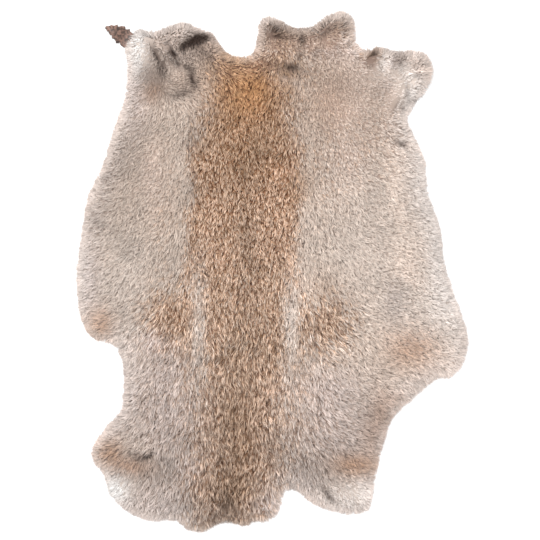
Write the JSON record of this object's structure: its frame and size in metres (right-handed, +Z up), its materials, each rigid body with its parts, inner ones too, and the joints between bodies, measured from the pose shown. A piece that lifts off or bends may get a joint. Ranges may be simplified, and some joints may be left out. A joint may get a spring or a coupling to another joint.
{
  "type": "rabbit pelt",
  "caption": "Tanned rabbit skin with its soft ticked fur, opened flat and lying fur side up, with rolled forelegs, a neck flap and an uneven furry rim.",
  "frame": {"origin": "on the surface the pelt lies on, under the middle of its outline", "axes": "+Y along the pelt towards the head end, +Z up out of the fur, +X across to the right as seen from above with the head end away"},
  "size_m": [0.3042, 0.4024, 0.0216],
  "materials": {
    "fur": "soft agouti rabbit fur, brown and cream ticking along the back, pale grey-beige flanks, rust and white patches at the rim",
    "hide": "suede flesh side of the tanned skin, with bare dark brown leg skin at the left foreleg"
  },
  "bodies": {
    "root": {"pelt": "fur"}
  },
  "joints": []
}
